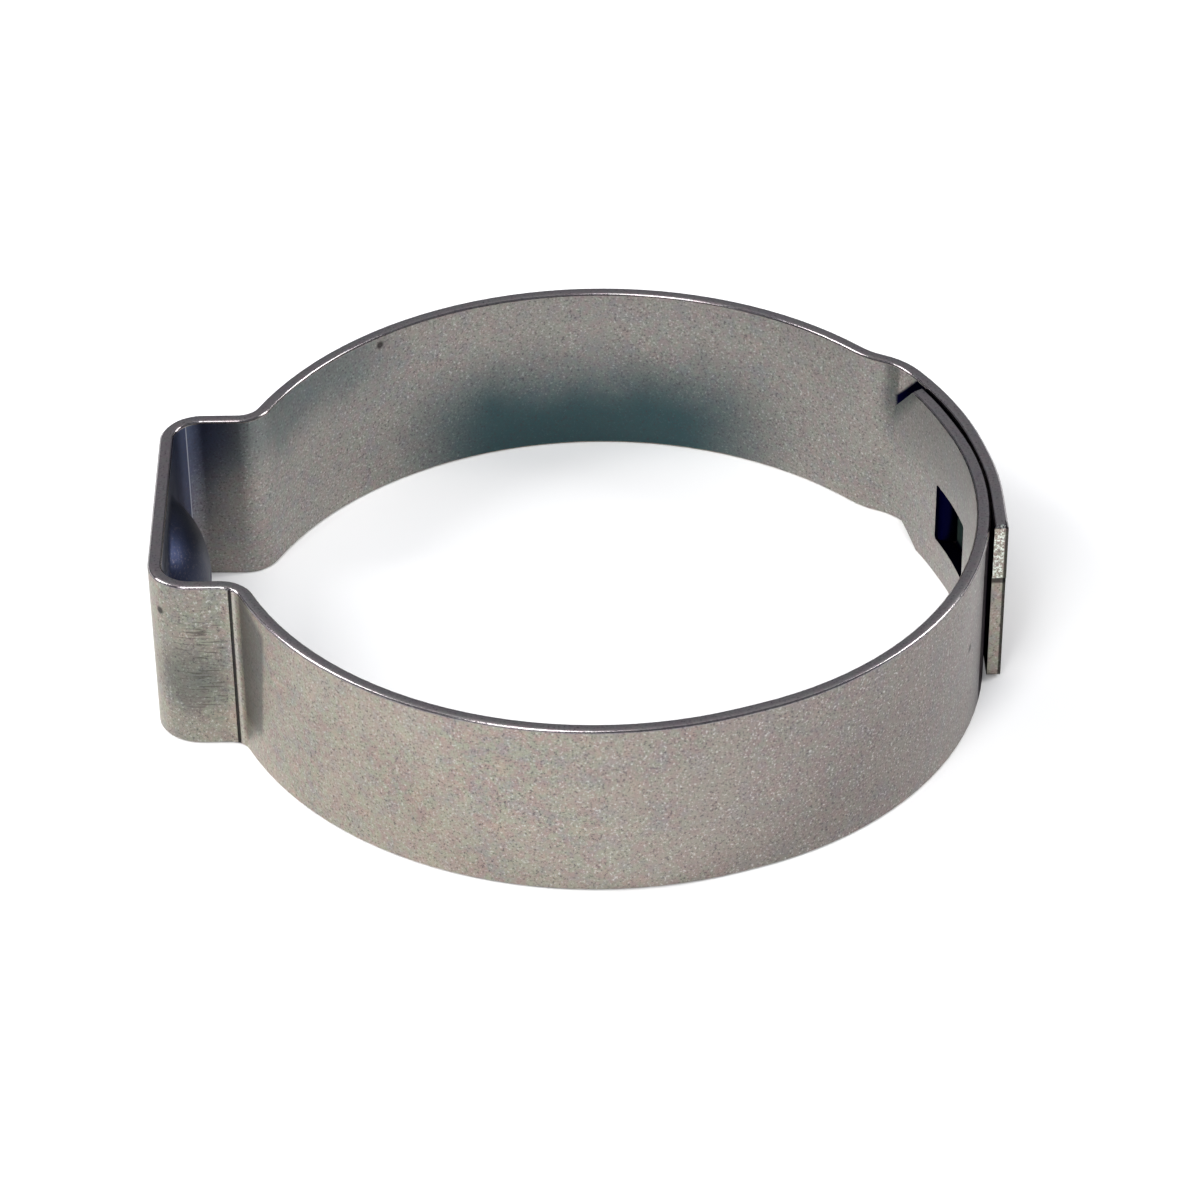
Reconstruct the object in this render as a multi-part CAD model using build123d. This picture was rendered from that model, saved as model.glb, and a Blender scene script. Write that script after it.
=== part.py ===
"""Ear hose clamp, open: one strip of stainless steel bent to a ring, with an ear to pinch and a hooked joint.

The ring's axis is +Z, the band's lower edge lies at z = 0, and the origin is where the axis meets that plane.
The ear points along -X. Angles are in degrees, counted from +X towards +Y, and the joint lies about +X.
The strip runs from its inner tip, under the overlap, round the front (-Y), through the ear and round the
back, then steps outwards and ends lying over its own beginning. A hook lanced from the inner layer stands
through a window in the outer one and bends over its front edge, which holds the ring closed.
"""
from build123d import *

import os
from math import acos, atan2, cos, degrees, radians, sin, sqrt, tan

# Strip
band_width = 7.0
band_thickness = 0.5
edge_break = 0.09

# Ring
bore_diameter = 27.1

# Ear
ear_inside_width = 10.0
ear_rise = 2.12
ear_lean = 0.9
ear_foot_radius = 0.8
ear_front_corner_radius = 1.1
ear_back_corner_radius = 1.0
crease_turn = 26.0
crease_width = 0.12
crease_depth = 0.05

# Dimple pressed into the ear's bridge
dimple_depth = 1.4
dimple_land = 0.2
dimple_foot_radius = 0.5
dimple_rim_radius = 0.35
dimple_thinning = 0.05

# Inner layer of the joint
tip_angle = 33.3
tip_upper_chamfer_length = 1.15
tip_lower_chamfer_length = 1.9
tip_chamfer_height = 1.3
joint_lift = 0.3
joint_axis_angle = -24.7
joint_half_angle = 45.0

# Outer layer of the joint
tip_gap = 0.12
overlap_gap = 0.025
joggle_angle = 43.5
joggle_radius = 2.8
end_flat_angle = 0.5
end_flat_length = 2.0
end_top_radius = 0.15
end_bottom_radius = 0.45
end_step_depth = 0.1
end_step_height = 2.3

# Hook, the slot it is lanced from, and its window
hook_root_angle = 19.5
hook_width = 2.35
hook_drop = 0.62
hook_bend_angle = 84.0
hook_bend_radius = 0.12
hook_nose_length = 1.1
hook_nose_dip = 8.0
hook_nose_radius = 0.5
hook_thinning = 0.06
hook_headroom = 0.06
slot_length = 2.9
slot_side_clearance = 0.06
slot_corner_radius = 0.12
window_length = 2.0
window_clearance = 0.15
window_corner_radius = 0.3

# Derived sizes
half_thickness = band_thickness / 2
half_width = band_width / 2
bore_radius = bore_diameter / 2
ring_radius = bore_radius + half_thickness
leg_offset = ear_inside_width / 2 + half_thickness
bridge_offset = bore_radius + ear_rise + half_thickness
punch_length = band_width / 2
axis_point = Vector(0, 0, half_width)


def polar(radius, angle, centre=axis_point):
    """The point at a radius and an angle about a centre, at the band's mid height."""
    return centre + Vector(radius * cos(radians(angle)), radius * sin(radians(angle)))


def arc(centre, radius, start, end):
    """An arc of the strip's middle line, from one angle to another about a centre."""
    return CenterArc(centre, radius, start, end - start)


def face_plane(point, angle):
    """A plane laid on the strip, with x anticlockwise along it, y up and z outwards at the given angle."""
    return Plane(origin=point, x_dir=polar(1, angle + 90, Vector()), z_dir=polar(1, angle, Vector()))


def strip(*edges):
    """A length of strip with broken long edges, swept along tangent arcs and straights."""
    path = Wire(edges)
    start = Plane(origin=path @ 0, x_dir=(path % 0).cross(Vector(0, 0, 1)), z_dir=path % 0)
    sheared = Rectangle(band_thickness, band_width)
    return sweep(start * chamfer(sheared.vertices(), edge_break), path=path)


def punch(outline):
    """The tool that cuts an outline, drawn on a plane laid on the strip, right through one layer of it."""
    return extrude(outline, amount=punch_length, both=True)


# The joint is sprung off the bore's circle: a tighter arc about a centre shifted towards it
joint_shift = joint_lift / (1 - cos(radians(joint_half_angle)))
joint_centre = polar(joint_shift, joint_axis_angle)
joint_radius = ring_radius - joint_shift * cos(radians(joint_half_angle))
joint_upper_angle = joint_axis_angle + joint_half_angle
joint_lower_angle = joint_axis_angle - joint_half_angle

# The outer layer clears the inner tip on a circle of its own, then closes on the inner layer to the overlap's gap
landing_radius = ring_radius + band_thickness + tip_gap
lifted_radius = joint_radius + band_thickness + overlap_gap
closing_angle = joint_axis_angle + degrees(acos((landing_radius - lifted_radius) / joint_shift))

# The dimple's caps share one centre, set out from the bridge's inner face, which the outer cap's blend meets
dimple_reach = half_width - edge_break - dimple_land
dimple_cap_radius = (dimple_reach**2 + dimple_depth**2) / (2 * dimple_depth) - dimple_foot_radius
dimple_centre = dimple_depth - dimple_cap_radius

# Where the ring bends outwards into the ear's legs
foot_bend = ear_foot_radius + half_thickness
foot_height = leg_offset + foot_bend
foot_reach = sqrt((ring_radius + foot_bend) ** 2 - foot_height**2)
foot_angle = degrees(atan2(foot_height, foot_reach))


def inner_layer():
    """The strip from its inner tip, under the overlap, to the front foot of the ear."""
    layer = strip(
        arc(axis_point, ring_radius, tip_angle, joint_upper_angle),
        Line(polar(ring_radius, joint_upper_angle), polar(joint_radius, joint_upper_angle, joint_centre)),
        arc(joint_centre, joint_radius, joint_upper_angle, joint_lower_angle),
        Line(polar(joint_radius, joint_lower_angle, joint_centre), polar(ring_radius, joint_lower_angle)),
        arc(axis_point, ring_radius, joint_lower_angle, foot_angle - 180),
    )
    return layer - tip_chamfers() - hook_slot() + hook()


def bridge_corner(bend, across):
    """The centre of a corner of the ear, which touches a leg and the leaning bridge with its bend."""
    lean = radians(ear_lean)
    return Vector(bend / cos(lean) - bridge_offset - across * tan(lean), across, half_width)


def ear():
    """The ear: two feet, two legs, two corners and the bridge between them, with a dimple and two creases."""
    front_bend = ear_front_corner_radius + half_thickness
    back_bend = ear_back_corner_radius + half_thickness
    front_foot = Vector(-foot_reach, -foot_height, half_width)
    back_foot = Vector(-foot_reach, foot_height, half_width)
    front_corner = bridge_corner(front_bend, front_bend - leg_offset)
    back_corner = bridge_corner(back_bend, leg_offset - back_bend)
    bridge_angle = 180 + ear_lean
    bent = strip(
        arc(front_foot, foot_bend, foot_angle, 90),
        Line(polar(foot_bend, 90, front_foot), polar(front_bend, -90, front_corner)),
        arc(front_corner, front_bend, 270, bridge_angle),
        Line(polar(front_bend, bridge_angle, front_corner), polar(back_bend, bridge_angle, back_corner)),
        arc(back_corner, back_bend, bridge_angle, 90),
        Line(polar(back_bend, 90, back_corner), polar(foot_bend, -90, back_foot)),
        arc(back_foot, foot_bend, -90, -foot_angle),
    )
    return dimpled(bent) - creases()


def outer_layer():
    """The strip from the ear's back foot, over the joggle and the inner layer, to its flat outer end."""
    first_reach = ring_radius + joggle_radius
    second_reach = landing_radius - joggle_radius
    spread = (first_reach**2 + second_reach**2 - 4 * joggle_radius**2) / (2 * first_reach * second_reach)
    landing_angle = joggle_angle - degrees(acos(spread))
    first_centre = polar(first_reach, joggle_angle)
    second_centre = polar(second_reach, landing_angle)
    between = second_centre - first_centre
    turn = degrees(atan2(between.Y, between.X)) % 360
    bent_end = polar(lifted_radius, end_flat_angle, joint_centre)
    flat_end = bent_end + polar(end_flat_length, end_flat_angle - 90, Vector())
    layer = strip(
        arc(axis_point, ring_radius, 180 - foot_angle, joggle_angle),
        arc(first_centre, joggle_radius, joggle_angle + 180, turn),
        arc(second_centre, joggle_radius, turn - 180, landing_angle),
        arc(axis_point, landing_radius, landing_angle, closing_angle),
        Line(polar(landing_radius, closing_angle), polar(lifted_radius, closing_angle, joint_centre)),
        arc(joint_centre, lifted_radius, closing_angle, end_flat_angle),
        Line(bent_end, flat_end),
    )
    end_plane = face_plane(flat_end, end_flat_angle)
    return layer - end_trim(end_plane) - hook_window()


def tip_corner(length):
    """What is cut off the tip's upper corner, drawn from the tip's end and the strip's middle."""
    outline = Polyline(
        (-length, half_width),
        (0, half_width - tip_chamfer_height),
        (band_thickness, half_width - tip_chamfer_height),
        (band_thickness, band_width),
        (-length, band_width),
        close=True,
    )
    return make_face(outline)


def tip_chamfers():
    """The two corners cut off the inner tip, so that it slides under the joggle."""
    plane = face_plane(polar(ring_radius, tip_angle), tip_angle)
    lower = mirror(tip_corner(tip_lower_chamfer_length), about=Plane.XZ)
    return punch(plane * (tip_corner(tip_upper_chamfer_length) + lower))


def end_trim(plane):
    """What the cut-off tool takes from the outer end: its rounded corners and the step along its face."""
    reach = band_width
    step = half_width - end_step_height
    outline = make_face(
        Polyline(
            (reach, half_width),
            (0, half_width),
            (0, step),
            (end_step_depth, step),
            (end_step_depth, -half_width),
            (reach, -half_width),
            close=True,
        )
    )
    top_corner = outline.vertices().sort_by_distance((0, half_width))[0]
    outline = fillet(top_corner, end_top_radius)
    bottom_corner = outline.vertices().sort_by_distance((end_step_depth, -half_width))[0]
    outline = fillet(bottom_corner, end_bottom_radius)
    tool = Rectangle(2 * band_thickness, 2 * band_width) - outline
    return punch(plane * tool)


def middle_radius(angle):
    """The radius of the inner layer's middle line about the ring's axis, at an angle in the lifted joint."""
    away = radians(angle - joint_axis_angle)
    if abs(away) > radians(joint_half_angle):
        return ring_radius
    lifted = joint_shift * cos(away) + sqrt(joint_radius**2 - (joint_shift * sin(away)) ** 2)
    return max(ring_radius, lifted)


# The hook's own frame: x along the strip towards the front, y outwards, from its root at the slot's back edge
hook_plane = Plane(
    origin=polar(middle_radius(hook_root_angle), hook_root_angle) - Vector(0, 0, hook_drop),
    x_dir=polar(1, hook_root_angle - 90, Vector()),
    z_dir=(0, 0, 1),
)
hook_thickness = band_thickness - hook_thinning
hook_bend = hook_bend_radius + hook_thickness / 2
hook_height = lifted_radius - joint_radius + half_thickness + hook_headroom + hook_thickness / 2
bend_run = hook_bend * sin(radians(hook_bend_angle))
bend_rise = hook_bend * (1 - cos(radians(hook_bend_angle)))
shank_rise = hook_height - 2 * bend_rise
shank_run = shank_rise / tan(radians(hook_bend_angle))
throat = 2 * bend_run + shank_run


def hook():
    """The tongue lanced from the inner layer, bent outwards and then forwards over the window's edge."""
    bury = band_thickness
    shank_start = (bend_run, bend_rise)
    shank_end = (bend_run + shank_run, bend_rise + shank_rise)
    nose_start_angle = 90 - hook_nose_dip
    nose_centre = (throat, hook_height - hook_bend)
    root = Line((-bury, 0), (0, 0))
    outward = CenterArc((0, hook_bend), hook_bend, -90, hook_bend_angle)
    shank = Line(shank_start, shank_end)
    forward = CenterArc(nose_centre, hook_bend, 90 + hook_bend_angle, -hook_bend_angle - hook_nose_dip)
    nose = Line(forward @ 1, forward @ 1 + (forward % 1) * hook_nose_length)
    path = Wire([root, outward, shank, forward, nose])
    section = Plane(origin=path @ 0, x_dir=(0, 1, 0), z_dir=(1, 0, 0)) * Rectangle(hook_thickness, hook_width)
    tongue = sweep(section, path=path)
    tongue_end = tongue.faces().sort_by_distance(path @ 1)[0]
    corners = tongue_end.edges().filter_by(Axis.Z, reverse=True)
    return hook_plane * fillet(corners, hook_nose_radius)


def hook_opening(front, length, side_clearance, corner_radius):
    """A punch square to the strip at the hook's root, with its front edge at a distance ahead of the root."""
    plane = Plane(origin=hook_plane.origin, x_dir=hook_plane.x_dir, z_dir=-hook_plane.y_dir)
    outline = RectangleRounded(length, hook_width + 2 * side_clearance, corner_radius)
    return punch(plane * Pos(front - length / 2, 0) * outline)


def hook_slot():
    """The slot that the hook leaves in the inner layer."""
    return hook_opening(slot_length, slot_length, slot_side_clearance, slot_corner_radius)


def hook_window():
    """The window in the outer layer, with its front edge in the hook's throat."""
    return hook_opening(throat, window_length, window_clearance, window_corner_radius)


def creases():
    """The fine line that the forming tool leaves down each foot, just where it turns out of its leg."""
    radius = crease_width / 2
    front_foot = Vector(-foot_reach, -foot_height, half_width)
    outside = polar(ear_foot_radius - radius + crease_depth, 90 - crease_turn, front_foot)
    line = Pos(outside) * Cylinder(radius, 2 * band_width)
    return line + mirror(line, about=Plane.XZ)


def dimple_form(face, cap_radius, blend_radius, behind):
    """A round cap on a face of the bridge, blended into it, with a disc of some depth behind the face."""
    blend_face = face + blend_radius
    reach = sqrt((cap_radius + blend_radius) ** 2 - (blend_face - dimple_centre) ** 2)
    lean = degrees(atan2(reach, blend_face - dimple_centre))
    blend = CenterArc((blend_face, reach), blend_radius, 180, lean)
    cap = CenterArc((dimple_centre, 0), cap_radius, lean, -lean)
    disc = Polyline((face, reach), (face - behind, reach), (face - behind, 0), cap @ 1)
    profile = make_face([blend, cap, disc])
    inward = polar(1, ear_lean, Vector())
    middle = Vector(-bridge_offset, 0, half_width) + inward * half_thickness
    return Plane(origin=middle, x_dir=inward, z_dir=inward.cross(Vector(0, 0, 1))) * revolve(profile, Axis.X)


def dimpled(bent):
    """The bridge with its round dimple: a cap raised on the inside, and its hollow on the outside."""
    raised = bent + dimple_form(0, dimple_cap_radius, dimple_foot_radius, half_thickness)
    wall = band_thickness - dimple_thinning
    return raised - dimple_form(-band_thickness, dimple_cap_radius - wall, dimple_rim_radius, band_width)


clamp_band = inner_layer() + ear() + outer_layer()
os.makedirs("parts", exist_ok=True)
export_step(clamp_band, "parts/clamp_band.step")
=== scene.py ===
# %% [markdown]
# # An ear hose clamp on a studio table
# The clamp is one strip of stainless steel. Its CAD model comes first, as a fixed frame, and everything in this
# lesson is set around it in metres.

# %% Load the frame
from math import asin, atan2, copysign, cos, pi, radians, sin

import bmesh
import bpy
from mathutils import Matrix, Vector


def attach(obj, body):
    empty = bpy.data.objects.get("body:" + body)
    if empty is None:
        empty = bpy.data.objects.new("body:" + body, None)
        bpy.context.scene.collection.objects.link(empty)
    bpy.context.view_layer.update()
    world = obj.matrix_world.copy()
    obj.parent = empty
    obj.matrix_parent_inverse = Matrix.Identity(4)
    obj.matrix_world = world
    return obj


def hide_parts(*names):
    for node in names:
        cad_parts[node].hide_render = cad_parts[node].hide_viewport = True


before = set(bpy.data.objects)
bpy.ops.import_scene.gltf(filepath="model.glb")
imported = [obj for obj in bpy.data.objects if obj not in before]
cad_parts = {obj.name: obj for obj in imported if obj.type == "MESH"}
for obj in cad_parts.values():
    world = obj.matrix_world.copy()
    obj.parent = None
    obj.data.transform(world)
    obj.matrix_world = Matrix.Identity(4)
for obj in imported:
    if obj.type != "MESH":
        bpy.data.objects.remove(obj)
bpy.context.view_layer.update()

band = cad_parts["clamp_band"]

# %% [markdown]
# ## The camera
# The photograph was taken from the front and 36 degrees above the table, with a long lens. The camera looks at the
# clamp, and three small turns, to the side, upwards and a roll, then set the clamp where the photograph has it.

# %% Camera
FOCAL_PX = 4451.13          # focal length, in pixels of a frame 1200 pixels wide
FRAME_PX = 1200
SENSOR_MM = 36
aim = Vector((0, 0, 0.00335))
distance = 0.164278
elevation, azimuth = radians(36.0791), radians(-90.0919)
yaw, pitch, roll = radians(-0.0171), radians(-0.3176), radians(0.6112)

eye = aim + distance * Vector((cos(elevation) * cos(azimuth), cos(elevation) * sin(azimuth), sin(elevation)))
ahead = (aim - eye).normalized()
right = ahead.cross(Vector((0, 0, 1))).normalized()
up = right.cross(ahead)
turn = Matrix.Rotation(roll, 3, "Z") @ Matrix.Rotation(pitch, 3, "X") @ Matrix.Rotation(yaw, 3, "Y")
rows = turn @ Matrix((right, up, ahead))
lens = bpy.data.cameras.new("camera")
lens.lens = FOCAL_PX / FRAME_PX * SENSOR_MM
lens.sensor_width = SENSOR_MM
lens.clip_start, lens.clip_end = 0.01, 10
camera = bpy.data.objects.new("camera", lens)
camera.matrix_world = Matrix.Translation(eye) @ Matrix((rows[0], rows[1], -rows[2])).transposed().to_4x4()
bpy.context.scene.collection.objects.link(camera)
bpy.context.scene.camera = camera
bpy.context.scene.view_settings.view_transform = "Standard"
print("camera:", [round(v, 4) for v in eye], "lens", round(lens.lens, 2))


# %% [markdown]
# ## Nodes and colours
# Colours are written as the sRGB hex values that a colour picker shows, and one function turns them to the linear
# values that the shaders want. One more function adds a node, its settings and its links, so that a material reads
# as a list of what each pattern is.

# %% Helpers
def linear(hex_colour):
    channels = [int(hex_colour[i:i + 2], 16) / 255 for i in (1, 3, 5)]
    return [c / 12.92 if c <= 0.04045 else ((c + 0.055) / 1.055) ** 2.4 for c in channels] + [1]


def add_node(tree, kind, **settings):
    """Adds a node with its settings. in_Name sets an input, or links it if given another node's output."""
    node = tree.nodes.new(kind)
    inputs = {key[3:]: settings.pop(key) for key in list(settings) if key.startswith("in_")}
    for key, value in settings.items():
        setattr(node, key, value)
    for name, value in inputs.items():
        socket = node.inputs[int(name) if name.isdigit() else name.replace("_", " ")]
        if isinstance(value, bpy.types.NodeSocket):
            tree.links.new(value, socket)
        else:
            socket.default_value = value
    return node


# %% [markdown]
# ## The strip, ready for its finish
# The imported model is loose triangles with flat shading, and its long edges are plain 45 degree breaks, where the real
# strip is rolled round. A mesh of its own could be drawn with spins and extrusions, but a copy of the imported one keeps
# every hole and bend in place. So the copy is merged, and its normals are weighted by face area: the wide faces stay
# flat and each narrow break turns smoothly from one to the other, which is what a small rounding does to the light.

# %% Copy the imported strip
strip_mesh = band.data.copy()
strip_mesh.materials.clear()
strip = bpy.data.objects.new("clamp_strip", strip_mesh)
bpy.context.scene.collection.objects.link(strip)
work = bmesh.new()
work.from_mesh(strip_mesh)
MERGE_M = 2e-6              # points closer than this are one point
SHARP_ANGLE = radians(50)   # the breaks turn by 45 degrees, so they stay smooth
bmesh.ops.remove_doubles(work, verts=work.verts, dist=MERGE_M)
for edge in work.edges:
    edge.smooth = edge.calc_face_angle(pi) < SHARP_ANGLE
for face in work.faces:
    face.smooth = True
print("strip:", len(work.verts), "points,", len(work.faces), "faces, open edges:",
      sum(not edge.is_manifold for edge in work.edges))

# %% [markdown]
# ## Where a mark lies on the strip
# Rolling lines and scuffs run along the strip, round every bend of it, so a pattern in plain x, y and z would cross
# them. Each point therefore carries its place as if the strip were rolled out flat: millimetres along it from the
# joint and millimetres across it. Both halves of the ring count upwards, so no face has a jump between its corners.
# Each face also carries its side: 0 inside the bend, 1 outside it, and a half where the press cut the strip.

# %% Roll the strip out flat
RING_MM = 13.8              # radius of the strip's middle line
LEG_MM = 5.25               # how far each leg of the ear stands off the middle
FOOT_MM = 12.76             # where the ring ends and a leg begins, along x
BRIDGE_MM = 15.92           # the bridge's distance from the axis
BAND_MM = 7                 # the strip's width
RIMS_M = (0.0001, 0.0069)   # a face outside these heights belongs to a rim or its break
CUT_RISE = 0.6              # a rim's face looks up or down by more than this
CUT_FACING = 0.75           # a sheared face in the lap looks outwards or inwards by less than this
LEG_STARTS = RING_MM * (pi - asin(LEG_MM / RING_MM))
LEG_ENDS = LEG_STARTS + BRIDGE_MM - FOOT_MM
rolled_out = work.verts.layers.float_vector.new("rolled_out")
side = work.faces.layers.float.new("side")
work.normal_update()


def place_on_strip(point):
    """Gives the millimetres along and across the strip there, and which way is outwards."""
    x, y, z = (1000 * v for v in point)
    if x > -FOOT_MM:
        return RING_MM * atan2(abs(y), x), z, Vector((x, y, 0)).normalized()
    if abs(y) > LEG_MM - 0.5 and x > 0.6 - BRIDGE_MM:
        return LEG_STARTS - FOOT_MM - x, z, Vector((0, copysign(1, y), 0))
    return LEG_ENDS + LEG_MM - abs(y), z, Vector((-1, 0, 0))


for vert in work.verts:
    vert[rolled_out] = (*place_on_strip(vert.co)[:2], 0)
for face in work.faces:
    centre = face.calc_center_median()
    facing = face.normal.dot(place_on_strip(centre)[2])
    on_edge = not RIMS_M[0] < centre.z < RIMS_M[1]
    was_cut = on_edge and abs(face.normal.z) > CUT_RISE or centre.x > 0 and abs(facing) < CUT_FACING
    face[side] = 0.5 if was_cut else float(facing > 0)
work.to_mesh(strip_mesh)
work.free()
weighted = strip.modifiers.new("flat_faces", "WEIGHTED_NORMAL")
weighted.keep_sharp = True
weighted.weight = 100
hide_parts("clamp_band")
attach(strip, "root")
print("rolled out: a leg runs from", round(LEG_STARTS, 1), "to", round(LEG_ENDS, 1), "mm")

# %% [markdown]
# ## The steel
# The strip is cold rolled stainless steel, often type 304 for such clamps, and tumbled after forming. Rolling leaves
# faint lines along it, and tumbling with stones turns its mirror to satin: a grain of about a tenth of a millimetre, a
# speckle that looks pink in one place and green in the next, mottles up to a millimetre, and cloudy patches a few
# millimetres wide. One noise for each of these sizes is enough, since none of them repeats on the strip. Typical pits
# are about 0.04 mm wide and scratches 0.02 mm: both are drawn at 0.09 mm, which is how wide the photograph shows them.

# %% Patterns of the tumbled surface
steel = bpy.data.materials.new("tumbled_stainless_strip")
steel.use_nodes = True
tree = steel.node_tree
tree.nodes.clear()
metres = add_node(tree, "ShaderNodeTexCoord").outputs["Object"]
place = add_node(tree, "ShaderNodeVectorMath", operation="SCALE", in_0=metres, in_Scale=1000.0).outputs["Vector"]
flat = add_node(tree, "ShaderNodeAttribute", attribute_name="rolled_out").outputs["Vector"]
grain = add_node(tree, "ShaderNodeTexNoise", in_Vector=place, in_Scale=11.0, in_Detail=2.0, in_Roughness=0.7)
speckle = add_node(tree, "ShaderNodeTexNoise", in_Vector=place, in_Scale=2.8, in_Detail=3.0, in_Roughness=0.65)
clouds = add_node(tree, "ShaderNodeTexNoise", in_Vector=place, in_Scale=0.42, in_Detail=3.0, in_Roughness=0.55)
grain, speckle, clouds = grain.outputs["Fac"], speckle.outputs["Fac"], clouds.outputs["Fac"]
streak_place = add_node(tree, "ShaderNodeVectorMath", operation="MULTIPLY", in_0=flat, in_1=(1.1, 11, 1))
streaks = add_node(tree, "ShaderNodeTexNoise", in_Vector=streak_place.outputs["Vector"], in_Scale=1.0, in_Detail=3.0)
streaks = streaks.outputs["Fac"]
mottle = add_node(tree, "ShaderNodeTexNoise", in_Vector=place, in_Scale=1.3, in_Detail=5.0, in_Roughness=0.75)
mottle = mottle.outputs["Fac"]
print("patterns: grain 0.09 mm, speckle 0.4 mm, mottle 0.8 mm, clouds 2.4 mm, streaks 0.09 by 0.9 mm")

# %% [markdown]
# ## Places on the strip
# Dirt, wear and painted shade belong to places: the ear's inside, the lap of the two layers, the lanced hook, the foot
# of a leg. Each place becomes a mask, which is 1 in the middle of it and falls to 0 at its border. The strip's rolled
# out millimetres give the places along the band, and the depth into the lap is a distance from the axis that the lap is
# bent about.

# %% Coordinates of the places
run, across = add_node(tree, "ShaderNodeSeparateXYZ", in_Vector=flat).outputs[:2]
side_of = add_node(tree, "ShaderNodeAttribute", attribute_name="side").outputs["Fac"]
x, y, z = add_node(tree, "ShaderNodeSeparateXYZ", in_Vector=place).outputs
half = add_node(tree, "ShaderNodeMath", operation="SIGN", in_0=y).outputs["Value"]
along = add_node(tree, "ShaderNodeMath", operation="MULTIPLY", in_0=run, in_1=half).outputs["Value"]
BORE_MM = 13.55                     # the ring's inner face
LAP_AXIS_MM = (0.931, -0.428)       # where the axis of the lap stands
LAP_BORE_MM = 12.826                # from there to the inner layer's inner face
depths = []
for axis_mm, bore_mm in (((0, 0), BORE_MM), (LAP_AXIS_MM, LAP_BORE_MM)):
    off = add_node(tree, "ShaderNodeVectorMath", operation="SUBTRACT", in_0=place, in_1=(*axis_mm, 0))
    level = add_node(tree, "ShaderNodeVectorMath", operation="MULTIPLY", in_0=off.outputs["Vector"], in_1=(1, 1, 0))
    reach = add_node(tree, "ShaderNodeVectorMath", operation="LENGTH", in_0=level.outputs["Vector"]).outputs["Value"]
    depths.append(add_node(tree, "ShaderNodeMath", operation="SUBTRACT", in_0=reach, in_1=bore_mm).outputs["Value"])
depth = add_node(tree, "ShaderNodeMath", operation="MINIMUM", in_0=depths[0], in_1=depths[1]).outputs["Value"]
print("places: along is negative in front and positive at the back; depth is 0 to 0.5 mm in the inner layer")

# %% [markdown]
# ## Inside the ear
# The ear's inside looks nearly black blue. That darkness is painted shade and painted dark reflection, strongest on the
# bridge and its dimple and high in the corners. Low on the legs it turns pale again. A soft border that leans across
# the strip draws this, and the cloud noise keeps it from being straight. A thin painted highlight runs down the back
# corner.


# %% Masks inside the ear
def place_mask(*limits):
    """Multiplies soft steps into one mask: each limit is a value, where its step is 0, and where it is 1."""
    mask = 1.0
    for value, none, full in limits:
        soft = add_node(tree, "ShaderNodeMapRange", interpolation_type="SMOOTHSTEP", in_Value=value,
                        in_From_Min=none, in_From_Max=full).outputs["Result"]
        mask = add_node(tree, "ShaderNodeMath", operation="MULTIPLY", in_0=mask, in_1=soft).outputs["Value"]
    return mask


is_inside, is_outside = (side_of, 0.4, 0.1), (side_of, 0.6, 0.9)
cloudy_run = add_node(tree, "ShaderNodeMath", operation="MULTIPLY_ADD", in_0=clouds, in_1=2.0, in_2=run)
high_run = add_node(tree, "ShaderNodeMath", operation="MULTIPLY_ADD", in_0=across, in_1=0.45,
                    in_2=cloudy_run.outputs["Value"])
# Painted shade and dark reflection in the ear, on its bridge and in its dimple, and a painted highlight down the back
# corner.
painted_ear_shade = place_mask(is_inside, (high_run.outputs["Value"], 41.2, 44.0), (run, LEG_STARTS - 0.2, LEG_STARTS + 1.2))
painted_bridge_shade = place_mask(is_inside, (run, LEG_ENDS - 0.5, LEG_ENDS + 0.3))
painted_dimple_shade = place_mask(is_inside, (run, LEG_ENDS + 1.2, LEG_ENDS + 2.2))
painted_corner_highlight = place_mask(is_inside, (run, LEG_ENDS - 0.32, LEG_ENDS - 0.22), (run, LEG_ENDS + 0.1, LEG_ENDS))
print("ear: dark from", round(LEG_STARTS, 2), "mm on, bright line at", round(LEG_ENDS - 0.1, 2), "mm")

# %% [markdown]
# ## The lap and the slot
# Between the two layers, and down in the slot that the hook leaves, light only gets in after many bounces. This shade
# is painted: such a place is coloured almost black with some blue. A metal turns bright at a flat angle whatever its
# colour, which would light up the gap, so the same mask also takes away that glare. The step beside the outer end gets
# painted shade as well, and its glare is taken away too: from the front, at a flat angle, it looks like the gap.

# %% Masks of the lap
TIP_MM, TIP_EDGE_MM, TIP_SLOPES = 8.02, 1.3, (0.885, 1.46)      # the inner tip, its corners' height and slopes
low_corner = add_node(tree, "ShaderNodeMath", operation="SUBTRACT", in_0=TIP_EDGE_MM, in_1=across).outputs["Value"]
high_corner = add_node(tree, "ShaderNodeMath", operation="SUBTRACT", in_0=across, in_1=BAND_MM - TIP_EDGE_MM)
high_corner = high_corner.outputs["Value"]
cuts = [add_node(tree, "ShaderNodeMath", operation="MULTIPLY_ADD", in_0=corner, in_1=slope, in_2=along).outputs["Value"]
        for corner, slope in ((high_corner, TIP_SLOPES[0]), (low_corner, TIP_SLOPES[1]))]
beyond_tip = along
for cut in cuts:
    beyond_tip = add_node(tree, "ShaderNodeMath", operation="MAXIMUM", in_0=beyond_tip, in_1=cut).outputs["Value"]
lap_ends = ((along, -2.75, -2.45), (beyond_tip, TIP_MM + 0.68, TIP_MM + 0.5))
on_lap = place_mask(is_outside, (depth, 0.4, 0.45), (depth, 0.7, 0.6), *lap_ends)
over_lap = place_mask(is_inside, (depth, 0.4, 0.5), *lap_ends)
in_slot = place_mask((depth, 0.0, 0.015), (depth, 1.05, 0.8), (along, 1.4, 1.8), (along, 5.1, 4.85),
                     (across, 1.45, 1.6), (across, 4.3, 4.15))
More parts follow.
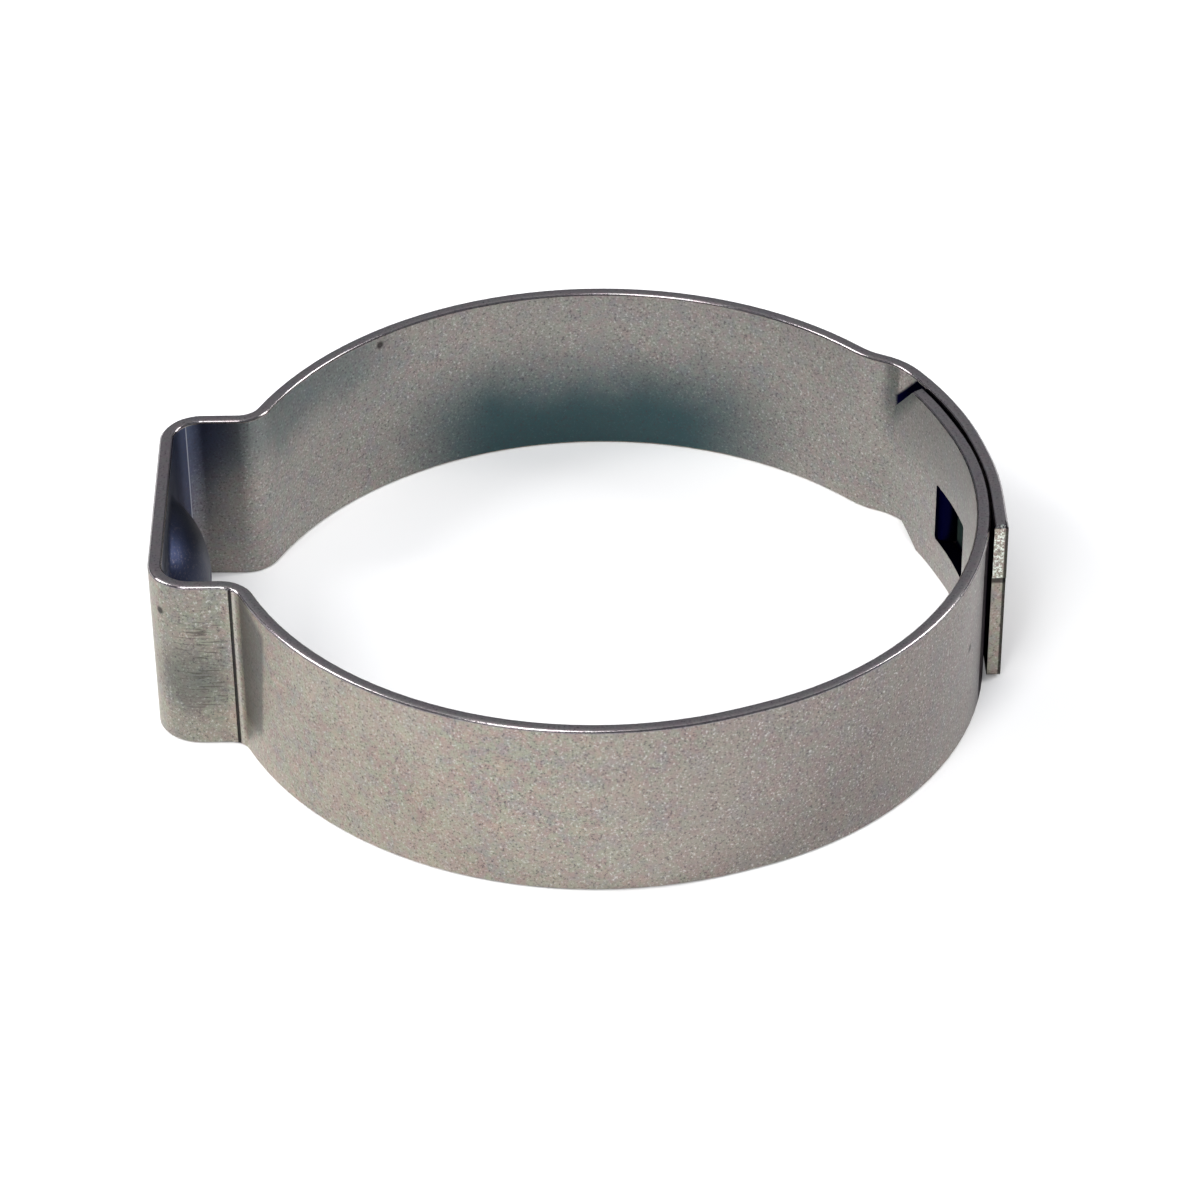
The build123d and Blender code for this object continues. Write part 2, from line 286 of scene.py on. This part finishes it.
# The lap, the gap over it and the slot get painted shade, and lose their glare.
painted_gap_shade = 0.0
for mask in (on_lap, over_lap, in_slot):
    painted_gap_shade = add_node(tree, "ShaderNodeMath", operation="MAXIMUM", in_0=painted_gap_shade, in_1=mask).outputs["Value"]
print("lap: from -2.5 mm to", TIP_MM, "mm, slot from 1.8 to 4.85 mm")

# %% Masks beside the lap
# Painted shade on the step beside the outer end.
painted_step_shade = place_mask(is_outside, (depth, 0.7, 0.6), (along, -5.0, -3.3), (along, 0.5, 0.0))
no_glare = place_mask(is_outside, (depth, 0.7, 0.6), (along, -3.65, -3.5), (along, 0.5, 0.0))
no_glare = add_node(tree, "ShaderNodeMath", operation="MAXIMUM", in_0=no_glare, in_1=painted_gap_shade).outputs["Value"]
slot_glint = place_mask(is_inside, (depth, 0.5, 0.57), (along, 3.0, 3.2), (along, 4.25, 4.15), (across, 1.8, 2.0),
                        (across, 3.4, 3.1))
# Painted shadow beside the inner tip's edge.
painted_tip_shadow = place_mask(is_inside, (depth, 0.05, 0.2), (along, 8.4, 8.6), (along, 9.4, 8.8), (across, 3.2, 5.6))
# Painted shade below the tip's chamfer and along the inner layer's top before it.
painted_chamfer_shade = place_mask(is_inside, (depth, 0.1, 0.05), (cuts[0], 7.1, 7.95), (along, 3.0, 6.5), (along, 8.6, 8.4))
# Painted shade on the upper part of the inner joint, which leaves it lighter towards the bottom.
painted_joint_shade = place_mask(is_inside, (depth, 0.1, 0.05), (across, 3.0, 5.5), (along, 0.0, 2.0), (along, 8.6, 8.4))
print("beside the lap: the step, the tip's shade and smudge, and the glint in the slot")

# %% [markdown]
# ## Rims and the cut end
# The rims are the slit edges of the strip. Their flats are satin and grey, and their broken edges are smoother than
# anything else, so each shows the lamps as a white line, over a painted dark reflection on the upper breaks. The outer
# end was sheared: its upper part is a rough step that the shear burnished, with painted white glints on it, a painted
# shadow line runs under it, and painted shade darkens its far edge.

# %% Masks of the rims and the end
on_rim = place_mask((across, 6.9, 6.93))
# Painted dark reflection on the upper broken edges.
painted_dark_break = place_mask((across, 6.9, 6.93), (across, 6.995, 6.98))
on_flat_rim = place_mask((across, 6.98, 6.995))
end_face = ((x, 14.2, 14.25), (y, -2.15, -2.18))
burnished = place_mask(*end_face, (z, 4.6, 4.7))
# White glints painted on the burnished step, a painted shadow line under it, and painted shade along the end's far
# edge.
bright = place_mask(*end_face, (z, 4.6, 4.7), (grain, 0.5, 0.56), (x, 14.68, 14.64))
painted_end_shadow = place_mask(*end_face, (z, 4.36, 4.46), (z, 4.74, 4.66))
painted_end_edge_shade = place_mask((x, 14.66, 14.71), (y, -1.9, -1.95))
print("end face: at y -2.2 mm, burnished above 4.7 mm")

# %% [markdown]
# ## Marks of use
# A painted dark teal reflection lies low on the back of the ring, with a fainter patch of it high beside the ear, and
# the front right of the ring gets painted shade. The front leg has short scuffs along the strip from the pincers, over
# a softer dirty patch, and the whole leg is a little darker. The bend of its foot has one stripe of painted dark
# reflection beside the crease, and the crease itself is a painted shade line with a painted highlight on its lip. Three
# specks of soot are left where the photograph shows them.

# %% Masks of the painted teal reflection and the shaded front right
# Painted dark teal reflection, low on the back and fainter high beside the ear.
reflection_top = add_node(tree, "ShaderNodeMath", operation="MULTIPLY_ADD", in_0=clouds, in_1=-2.0, in_2=across)
painted_teal_reflection = place_mask(is_inside, (reflection_top.outputs["Value"], 4.7, 0.4), (along, 12.0, 18.5), (along, 32.0, 25.5))
painted_upper_reflection = place_mask(is_inside, (reflection_top.outputs["Value"], 2.7, 5.1), (along, 28.5, 33.0))
# Painted shade on the front right of the ring.
painted_front_right_shade = place_mask(is_outside, (along, -30.0, -12.0), (along, 2.0, 0.0))
print("film: between 12 and 32 mm along the back, fading out 5 to 6 mm high")

# %% Masks of the front leg
# This darkens the whole front leg a little.
leg_dim = place_mask(is_outside, (along, -LEG_STARTS - 0.3, -LEG_STARTS - 0.8), (along, -LEG_ENDS - 0.4, -LEG_ENDS))
scuffs = place_mask(is_outside, (streaks, 0.53, 0.64), (across, 0.9, 2.0), (across, 6.7, 5.2),
                    (along, -LEG_STARTS - 0.4, -LEG_STARTS - 0.9), (along, -LEG_ENDS, 1.6 - LEG_ENDS))
patch_off = add_node(tree, "ShaderNodeVectorMath", operation="DISTANCE", in_0=place, in_1=(-14.7, -5.5, 2.9))
patch_edge = add_node(tree, "ShaderNodeMath", operation="MULTIPLY_ADD", in_0=speckle, in_1=1.6,
                      in_2=patch_off.outputs["Value"])
patch = place_mask(is_outside, (patch_edge.outputs["Value"], 2.8, 1.3))
leaf_right = add_node(tree, "ShaderNodeMath", operation="MULTIPLY_ADD", in_0=across, in_1=-0.11, in_2=along)
leaf_top = add_node(tree, "ShaderNodeMath", operation="MULTIPLY_ADD", in_0=across, in_1=2.4, in_2=along)
# Painted dark reflection in the bend of the foot, a leaf-shaped stripe beside the crease.
painted_bend_reflection = place_mask(is_outside, (leaf_right.outputs["Value"], -36.05, -36.3), (across, 1.1, 1.9),
                    (leaf_top.outputs["Value"], -19.6, -20.9), (along, -38.0, -37.2))
CREASE_MM = LEG_STARTS + 0.34
crease_off = add_node(tree, "ShaderNodeMath", operation="SUBTRACT", in_0=run, in_1=CREASE_MM).outputs["Value"]
# A painted shade line in the crease, and a painted highlight on its lip.
crease = place_mask(is_outside, (crease_off, -0.09, -0.04), (crease_off, 0.07, 0.03))
painted_crease_highlight = place_mask(is_outside, (crease_off, -0.22, -0.16), (crease_off, -0.06, -0.11))
print("front leg: crease at", round(CREASE_MM, 2), "mm")

# %% Specks of soot
SPECKS_MM = {"back": (-8.28, 10.73, 6.6), "front": (13.29, -5.42, 3.88), "leg": (-15.66, -5.0, 5.69)}
specks = 0.0
for centre in SPECKS_MM.values():
    off = add_node(tree, "ShaderNodeVectorMath", operation="DISTANCE", in_0=place, in_1=centre).outputs["Value"]
    dot = add_node(tree, "ShaderNodeMapRange", in_Value=off, in_From_Min=0.21, in_From_Max=0.1).outputs["Result"]
    specks = add_node(tree, "ShaderNodeMath", operation="MAXIMUM", in_0=specks, in_1=dot).outputs["Value"]
print("specks:", list(SPECKS_MM))

# %% [markdown]
# ## Colour
# Clean tumbled steel is a warm grey, #A7948E to #A2A693 as the speckle turns from pink to green, with bluer and browner
# mottles. Each mask mixes a colour in, from the widest mark to the smallest: dirt and wear, and also painted shade,
# painted reflections and painted highlights, as the comments at the masks say. A metal's colour is its reflection, so
# the same colours serve as the base colour of a fully metallic surface with the usual index of refraction.

# %% Layer the colours
LAYERS = [                          # factor, its strength, and the colour that it mixes in
    (place_mask((speckle, 0.36, 0.64)), 0.9, "#A2A693"),
    (place_mask((mottle, 0.5, 0.62)), 0.45, "#929398"),
    (place_mask((mottle, 0.46, 0.34)), 0.45, "#BFA696"),
    (place_mask((clouds, 0.35, 0.7)), 0.4, "#BBB3A4"),
    # painted shade: every inside face a little darker and bluer
    (place_mask(is_inside), 0.38, "#7C7F86"),
    (painted_front_right_shade, 0.55, "#746D70"),
    (leg_dim, 0.35, "#6E756E"),
    (place_mask((grain, 0.57, 0.72)), 0.6, "#E0E0DC"),
    (painted_teal_reflection, 0.9, "#2C4E54"),
    (painted_upper_reflection, 0.5, "#3F5A60"),
    (patch, 0.55, "#5A605C"),
    (scuffs, 0.75, "#5B5852"),
    (painted_bend_reflection, 0.65, "#5A5C5C"),
    (painted_crease_highlight, 0.5, "#CBC7BE"),
    (crease, 0.9, "#15151A"),
    (painted_ear_shade, 0.75, "#3A4264"),
    (painted_bridge_shade, 0.55, "#2C344C"),
    (painted_dimple_shade, 0.75, "#121A30"),
    (painted_joint_shade, 0.35, "#5C5E5E"),
    (painted_step_shade, 0.6, "#242438"),
    (on_rim, 0.55, "#9E98A2"),
    (place_mask((grain, 0.46, 0.3)), 0.7, "#4E4A50"),
    (painted_dark_break, 0.3, "#3A3640"),
    (painted_corner_highlight, 0.6, "#B9BBC4"),
    (painted_tip_shadow, 0.6, "#2F3A38"),
    (painted_chamfer_shade, 0.6, "#33403C"),
    (bright, 0.95, "#F2FAEE"),
    (painted_end_shadow, 0.8, "#1E1C1E"),
    (painted_end_edge_shade, 0.85, "#141616"),
    (painted_gap_shade, 1.0, "#060624"),
    (slot_glint, 0.8, "#61746E"),
    (specks, 0.85, "#2A2625"),
]
colour = linear("#A7948E")
for mask, strength, tint in LAYERS:
    factor = add_node(tree, "ShaderNodeMath", operation="MULTIPLY", in_0=mask, in_1=strength).outputs["Value"]
    layer = add_node(tree, "ShaderNodeMix", data_type="RGBA", in_Factor=factor, in_A=colour, in_B=linear(tint))
    colour = layer.outputs["Result"]
print("colour:", len(LAYERS), "layers")

# %% [markdown]
# ## Gloss and relief
# The tumbled faces have a roughness of 0.32 to 0.42, which blurs the table into an even grey. The rims' flats are much
# the same, and only the broken edges and the burnished end are smooth enough to mirror a lamp. The pits of the grain
# are a hundredth of a millimetre deep, too small for the mesh, so a bump gives them.

# %% Steel surface
rough = add_node(tree, "ShaderNodeMapRange", in_Value=clouds, in_From_Min=0.3, in_From_Max=0.7, in_To_Min=0.32,
                 in_To_Max=0.42).outputs["Result"]
for mask, gloss in ((on_rim, 0.17), (on_flat_rim, 0.34), (burnished, 0.16)):
    rough = add_node(tree, "ShaderNodeMix", data_type="FLOAT", in_Factor=mask, in_A=rough, in_B=gloss).outputs["Result"]
bump = add_node(tree, "ShaderNodeBump", in_Height=grain, in_Strength=0.4, in_Distance=0.00001)
glare = add_node(tree, "ShaderNodeMix", data_type="RGBA", in_Factor=no_glare, in_A=(1, 1, 1, 1), in_B=linear("#0C0C20"))
metal = add_node(tree, "ShaderNodeBsdfPrincipled", in_Base_Color=colour, in_Roughness=rough, in_Metallic=1.0,
                 in_Specular_Tint=glare.outputs["Result"], in_Normal=bump.outputs["Normal"])
add_node(tree, "ShaderNodeOutputMaterial", in_Surface=metal.outputs["BSDF"])
strip_mesh.materials.append(steel)
print("steel:", len(tree.nodes), "nodes")

# %% [markdown]
# ## The table and the light
# The clamp stands on pale paper. The light is soft and comes from above, because a metal shows what stands round it:
# the wide faces mirror the paper, the narrow rims mirror the dim room behind, and the lamps at the sides only show as
# white lines on the broken edges.

# %% Stage
table = bmesh.new()
bmesh.ops.create_grid(table, x_segments=1, y_segments=1, size=0.6)
table_mesh = bpy.data.meshes.new("studio_table")
table.to_mesh(table_mesh)
table.free()
floor = bpy.data.objects.new("studio_table", table_mesh)
bpy.context.scene.collection.objects.link(floor)
print("table:", floor.name)

# %% Paper
# A little light of its own, for the camera alone, takes the grey out of the paper but keeps the clamp's shadow.
PAPER_GLOW = 0.15           # where 1 would be white by itself
paper = bpy.data.materials.new("studio_paper")
paper.use_nodes = True
ptree = paper.node_tree
ptree.nodes.clear()
sheet = add_node(ptree, "ShaderNodeBsdfDiffuse", in_Color=linear("#E6E6E6"))
seen = add_node(ptree, "ShaderNodeLightPath").outputs["Is Camera Ray"]
lift = add_node(ptree, "ShaderNodeMath", operation="MULTIPLY", in_0=seen, in_1=PAPER_GLOW).outputs["Value"]
glow = add_node(ptree, "ShaderNodeEmission", in_Strength=lift)
lit = add_node(ptree, "ShaderNodeAddShader", in_0=sheet.outputs["BSDF"], in_1=glow.outputs["Emission"])
add_node(ptree, "ShaderNodeOutputMaterial", in_Surface=lit.outputs["Shader"])
table_mesh.materials.append(paper)
print("paper:", len(ptree.nodes), "nodes")

# %% World and lamps
WORLD_STRENGTH = 0.32
world = bpy.data.worlds.new("studio")
bpy.context.scene.world = world
world.use_nodes = True
wtree = world.node_tree
wtree.nodes.clear()
air = add_node(wtree, "ShaderNodeBackground", in_Color=linear("#E8ECF6"), in_Strength=WORLD_STRENGTH)
add_node(wtree, "ShaderNodeOutputWorld", in_Surface=air.outputs["Background"])


def softbox(name, place_m, wide_m, tall_m, watts):
    """Adds a rectangular lamp that faces the clamp."""
    lamp = bpy.data.lights.new(name, "AREA")
    lamp.shape, lamp.size, lamp.size_y, lamp.energy = "RECTANGLE", wide_m, tall_m, watts
    box = bpy.data.objects.new(name, lamp)
    box.location = place_m
    box.rotation_euler = (aim - Vector(place_m)).to_track_quat("-Z", "Y").to_euler()
    bpy.context.scene.collection.objects.link(box)


softbox("lamp_above", (-0.135, -0.29, 0.43), 0.16, 0.50, 2.15)
softbox("lamp_left", (-0.335, 0.0, 0.225), 0.10, 0.30, 1.3)
softbox("lamp_right", (0.34, 0.07, 0.20), 0.08, 0.28, 1.0)
